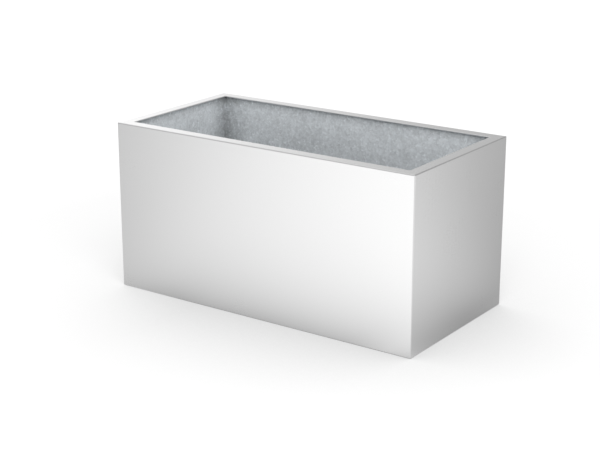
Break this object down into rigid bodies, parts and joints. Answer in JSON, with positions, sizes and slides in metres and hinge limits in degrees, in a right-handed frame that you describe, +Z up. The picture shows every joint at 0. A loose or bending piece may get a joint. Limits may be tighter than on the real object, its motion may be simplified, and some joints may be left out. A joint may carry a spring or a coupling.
{
  "type": "planter",
  "caption": "Rectangular floor planter: satin stainless jacket with a folded-in rim over an insulated galvanised tank on levelling feet.",
  "frame": {"origin": "on the floor, under the middle of the planter", "axes": "+X along the length to the right, +Y to the back, +Z up; the front face looks to -Y"},
  "size_m": [1, 0.5, 0.5],
  "materials": {
    "stainless": "satin",
    "galvanised": "satin",
    "galvanised_tube": "satin",
    "zinc_fittings": "satin",
    "rubber": "matte",
    "foam_board": "matte",
    "black_plastic": "satin"
  },
  "bodies": {
    "tank_unit": {"tank_front": "galvanised", "insulation_front": "foam_board", "base_rail_front": "galvanised_tube", "tank_back": "galvanised", "insulation_back": "foam_board", "base_rail_back": "galvanised_tube", "tank_left": "galvanised", "insulation_left": "foam_board", "base_rail_left": "galvanised_tube", "tank_right": "galvanised", "insulation_right": "foam_board", "base_rail_right": "galvanised_tube", "tank_floor": "galvanised", "drain_socket_left": "zinc_fittings", "crossbar_left": "galvanised_tube", "drain_socket_right": "zinc_fittings", "crossbar_right": "galvanised_tube", "foot_plate_front_left": "galvanised_tube", "foot_plate_front_right": "galvanised_tube", "foot_plate_back_left": "galvanised_tube", "foot_plate_back_right": "galvanised_tube", "foot_weld_nuts": "zinc_fittings", "foot_lock_nuts": "zinc_fittings"},
    "jacket": {"jacket_front": "stainless", "rim_gasket_front": "rubber", "jacket_back": "stainless", "rim_gasket_back": "rubber", "jacket_left": "stainless", "rim_gasket_left": "rubber", "jacket_right": "stainless", "rim_gasket_right": "rubber", "jacket_corner_front_left": "stainless", "jacket_corner_front_right": "stainless", "jacket_corner_back_left": "stainless", "jacket_corner_back_right": "stainless"},
    "strainer_left": {"strainer_left": "zinc_fittings"},
    "strainer_right": {"strainer_right": "zinc_fittings"},
    "foot_front_left": {"foot_pad_front_left": "black_plastic", "foot_tread_front_left": "rubber"},
    "stud_front_left": {"foot_stud_front_left": "zinc_fittings"},
    "foot_front_right": {"foot_pad_front_right": "black_plastic", "foot_tread_front_right": "rubber"},
    "stud_front_right": {"foot_stud_front_right": "zinc_fittings"},
    "foot_back_left": {"foot_pad_back_left": "black_plastic", "foot_tread_back_left": "rubber"},
    "stud_back_left": {"foot_stud_back_left": "zinc_fittings"},
    "foot_back_right": {"foot_pad_back_right": "black_plastic", "foot_tread_back_right": "rubber"},
    "stud_back_right": {"foot_stud_back_right": "zinc_fittings"}
  },
  "joints": [
    {"name": "jacket_lift", "type": "slide", "parent": "tank_unit", "child": "jacket", "axis": [0, 0, 1], "range_m": [0, 0.5]},
    {"name": "strainer_left_lift", "type": "slide", "parent": "tank_unit", "child": "strainer_left", "axis": [0, 0, 1], "range_m": [0, 0.46]},
    {"name": "strainer_right_lift", "type": "slide", "parent": "tank_unit", "child": "strainer_right", "axis": [0, 0, 1], "range_m": [0, 0.46]},
    {"name": "foot_front_left_height", "type": "slide", "parent": "tank_unit", "child": "foot_front_left", "axis": [0, 0, 1], "range_m": [-0.012, 0]},
    {"name": "stud_front_left_turn", "type": "hinge", "parent": "foot_front_left", "child": "stud_front_left", "pos_m": [-0.41, -0.16, 0.03], "axis": [0, 0, 1], "range_deg": [-2469, 0]},
    {"name": "foot_front_right_height", "type": "slide", "parent": "tank_unit", "child": "foot_front_right", "axis": [0, 0, 1], "range_m": [-0.012, 0]},
    {"name": "stud_front_right_turn", "type": "hinge", "parent": "foot_front_right", "child": "stud_front_right", "pos_m": [0.41, -0.16, 0.03], "axis": [0, 0, 1], "range_deg": [-2469, 0]},
    {"name": "foot_back_left_height", "type": "slide", "parent": "tank_unit", "child": "foot_back_left", "axis": [0, 0, 1], "range_m": [-0.012, 0]},
    {"name": "stud_back_left_turn", "type": "hinge", "parent": "foot_back_left", "child": "stud_back_left", "pos_m": [-0.41, 0.16, 0.03], "axis": [0, 0, 1], "range_deg": [-2469, 0]},
    {"name": "foot_back_right_height", "type": "slide", "parent": "tank_unit", "child": "foot_back_right", "axis": [0, 0, 1], "range_m": [-0.012, 0]},
    {"name": "stud_back_right_turn", "type": "hinge", "parent": "foot_back_right", "child": "stud_back_right", "pos_m": [0.41, 0.16, 0.03], "axis": [0, 0, 1], "range_deg": [-2469, 0]}
  ],
  "couplings": [
    {"joint": "stud_front_left_turn", "follows": "foot_front_left_height", "rad_per_m": 3590.4},
    {"joint": "stud_front_right_turn", "follows": "foot_front_right_height", "rad_per_m": 3590.4},
    {"joint": "stud_back_left_turn", "follows": "foot_back_left_height", "rad_per_m": 3590.4},
    {"joint": "stud_back_right_turn", "follows": "foot_back_right_height", "rad_per_m": 3590.4}
  ]
}
